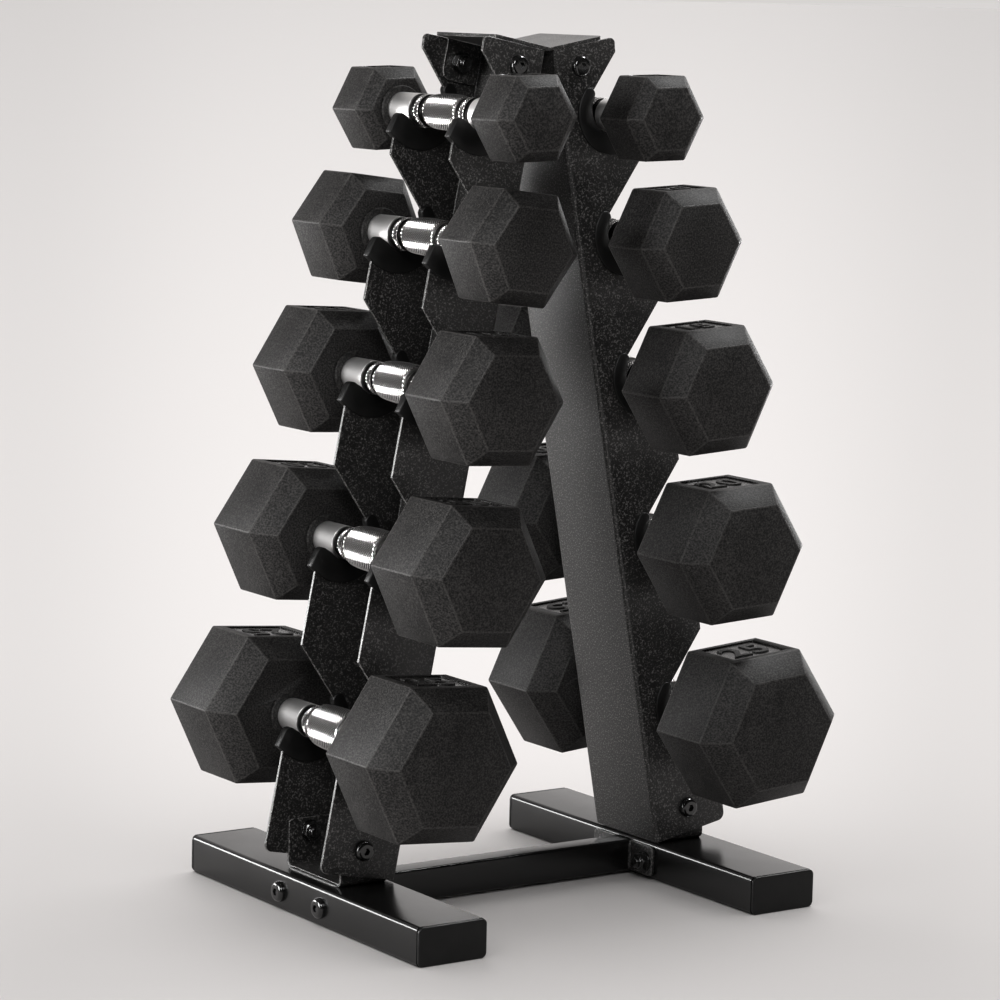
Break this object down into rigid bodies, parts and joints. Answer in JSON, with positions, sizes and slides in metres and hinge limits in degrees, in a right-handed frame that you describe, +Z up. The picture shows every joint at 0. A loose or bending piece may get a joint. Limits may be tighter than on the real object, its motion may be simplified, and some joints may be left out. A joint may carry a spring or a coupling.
{
  "type": "dumbbell rack",
  "caption": "A-frame dumbbell rack with leaning channel uprights, tiered cradles, tube feet, a crossbar, and hex dumbbells that lift off.",
  "frame": {"origin": "on the floor under the middle of the rack", "axes": "+X across the A towards the right upright, +Y along the dumbbells towards the rear, +Z up"},
  "size_m": [0.414, 0.3204, 0.6446],
  "materials": {
    "powder_coat": "satin black powder coat",
    "black_plastic": "matt moulded",
    "coated_iron": "iron under matt black rubber",
    "chrome": "polished and knurled"
  },
  "bodies": {
    "rack": {"left_upright": "powder_coat", "left_foot": "powder_coat", "left_front_foot_cap": "black_plastic", "left_front_cradle_1": "black_plastic", "left_front_cradle_2": "black_plastic", "left_front_cradle_3": "black_plastic", "left_front_cradle_4": "black_plastic", "left_front_cradle_5": "black_plastic", "left_rear_foot_cap": "black_plastic", "left_rear_cradle_1": "black_plastic", "left_rear_cradle_2": "black_plastic", "left_rear_cradle_3": "black_plastic", "left_rear_cradle_4": "black_plastic", "left_rear_cradle_5": "black_plastic", "right_upright": "powder_coat", "right_foot": "powder_coat", "right_front_foot_cap": "black_plastic", "right_front_cradle_1": "black_plastic", "right_front_cradle_2": "black_plastic", "right_front_cradle_3": "black_plastic", "right_front_cradle_4": "black_plastic", "right_front_cradle_5": "black_plastic", "right_rear_foot_cap": "black_plastic", "right_rear_cradle_1": "black_plastic", "right_rear_cradle_2": "black_plastic", "right_rear_cradle_3": "black_plastic", "right_rear_cradle_4": "black_plastic", "right_rear_cradle_5": "black_plastic", "crossbar": "powder_coat", "top_bracket": "powder_coat"},
    "left_dumbbell_1": {"left_dumbbell_1_handle": "chrome", "left_dumbbell_1_front_head": "coated_iron", "left_dumbbell_1_rear_head": "coated_iron"},
    "left_dumbbell_2": {"left_dumbbell_2_handle": "chrome", "left_dumbbell_2_front_head": "coated_iron", "left_dumbbell_2_rear_head": "coated_iron"},
    "left_dumbbell_3": {"left_dumbbell_3_handle": "chrome", "left_dumbbell_3_front_head": "coated_iron", "left_dumbbell_3_rear_head": "coated_iron"},
    "left_dumbbell_4": {"left_dumbbell_4_handle": "chrome", "left_dumbbell_4_front_head": "coated_iron", "left_dumbbell_4_rear_head": "coated_iron"},
    "left_dumbbell_5": {"left_dumbbell_5_handle": "chrome", "left_dumbbell_5_front_head": "coated_iron", "left_dumbbell_5_rear_head": "coated_iron"},
    "right_dumbbell_1": {"right_dumbbell_1_handle": "chrome", "right_dumbbell_1_front_head": "coated_iron", "right_dumbbell_1_rear_head": "coated_iron"},
    "right_dumbbell_2": {"right_dumbbell_2_handle": "chrome", "right_dumbbell_2_front_head": "coated_iron", "right_dumbbell_2_rear_head": "coated_iron"},
    "right_dumbbell_3": {"right_dumbbell_3_handle": "chrome", "right_dumbbell_3_front_head": "coated_iron", "right_dumbbell_3_rear_head": "coated_iron"},
    "right_dumbbell_4": {"right_dumbbell_4_handle": "chrome", "right_dumbbell_4_front_head": "coated_iron", "right_dumbbell_4_rear_head": "coated_iron"},
    "right_dumbbell_5": {"right_dumbbell_5_handle": "chrome", "right_dumbbell_5_front_head": "coated_iron", "right_dumbbell_5_rear_head": "coated_iron"}
  },
  "joints": [
    {"name": "left_dumbbell_1_lift_off", "type": "slide", "parent": "rack", "child": "left_dumbbell_1", "axis": [-0.8192, 0, 0.5736], "range_m": [0, 0.2]},
    {"name": "left_dumbbell_2_lift_off", "type": "slide", "parent": "rack", "child": "left_dumbbell_2", "axis": [-0.8192, 0, 0.5736], "range_m": [0, 0.2]},
    {"name": "left_dumbbell_3_lift_off", "type": "slide", "parent": "rack", "child": "left_dumbbell_3", "axis": [-0.8192, 0, 0.5736], "range_m": [0, 0.2]},
    {"name": "left_dumbbell_4_lift_off", "type": "slide", "parent": "rack", "child": "left_dumbbell_4", "axis": [-0.8192, 0, 0.5736], "range_m": [0, 0.2]},
    {"name": "left_dumbbell_5_lift_off", "type": "slide", "parent": "rack", "child": "left_dumbbell_5", "axis": [-0.8192, 0, 0.5736], "range_m": [0, 0.2]},
    {"name": "right_dumbbell_1_lift_off", "type": "slide", "parent": "rack", "child": "right_dumbbell_1", "axis": [0.8192, 0, 0.5736], "range_m": [0, 0.2]},
    {"name": "right_dumbbell_2_lift_off", "type": "slide", "parent": "rack", "child": "right_dumbbell_2", "axis": [0.8192, 0, 0.5736], "range_m": [0, 0.2]},
    {"name": "right_dumbbell_3_lift_off", "type": "slide", "parent": "rack", "child": "right_dumbbell_3", "axis": [0.8192, 0, 0.5736], "range_m": [0, 0.2]},
    {"name": "right_dumbbell_4_lift_off", "type": "slide", "parent": "rack", "child": "right_dumbbell_4", "axis": [0.8192, 0, 0.5736], "range_m": [0, 0.2]},
    {"name": "right_dumbbell_5_lift_off", "type": "slide", "parent": "rack", "child": "right_dumbbell_5", "axis": [0.8192, 0, 0.5736], "range_m": [0, 0.2]}
  ]
}
